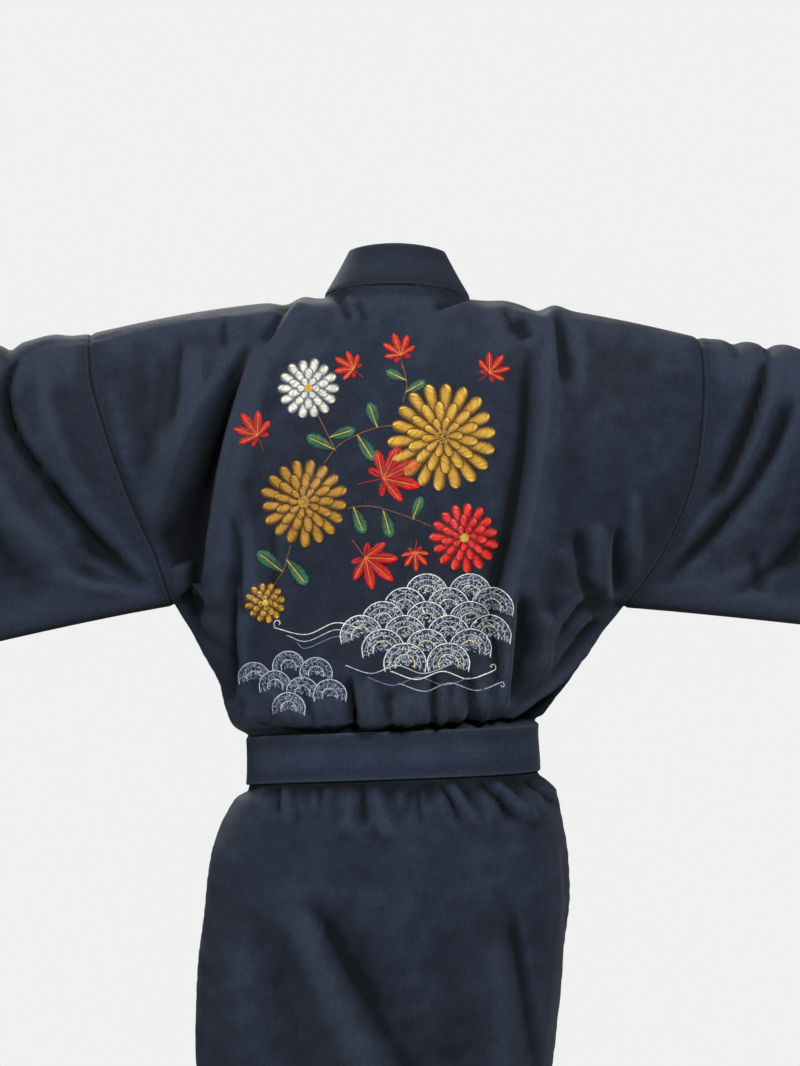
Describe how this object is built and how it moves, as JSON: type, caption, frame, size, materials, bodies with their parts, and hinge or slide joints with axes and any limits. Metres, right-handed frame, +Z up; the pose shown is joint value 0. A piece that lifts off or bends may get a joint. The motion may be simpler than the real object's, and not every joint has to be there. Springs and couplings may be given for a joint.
{
  "type": "happi coat",
  "caption": "Short black cotton wrap robe of the happi kind with wide sleeves, a standing collar band and a tied cloth belt, in its worn shape with arms held out.",
  "frame": {"origin": "base of the wearer's neck, midway between the two neck points where the shoulders carry the robe", "axes": "+Z up, -Y out of the front, +Y out of the back, +X to the wearer's left along the sleeve"},
  "size_m": [1.3798, 0.2543, 0.9529],
  "materials": {
    "coat_cotton": "plain weave, soft matt with a faint sheen",
    "collar_cotton": "plain weave, folded double and topstitched",
    "belt_cotton": "plain weave, folded double with rows of topstitching",
    "stitching_thread": "matt cotton thread",
    "embroidery_thread": "glossy satin stitches in gold, red, white, grey-blue and green"
  },
  "bodies": {
    "root": {"back": "coat_cotton", "front_left": "coat_cotton", "front_right": "coat_cotton", "sleeve_left": "coat_cotton", "sleeve_right": "coat_cotton", "collar": "collar_cotton", "belt": "belt_cotton", "belt_knot": "belt_cotton", "belt_end_left": "belt_cotton", "belt_end_right": "belt_cotton"}
  },
  "joints": []
}
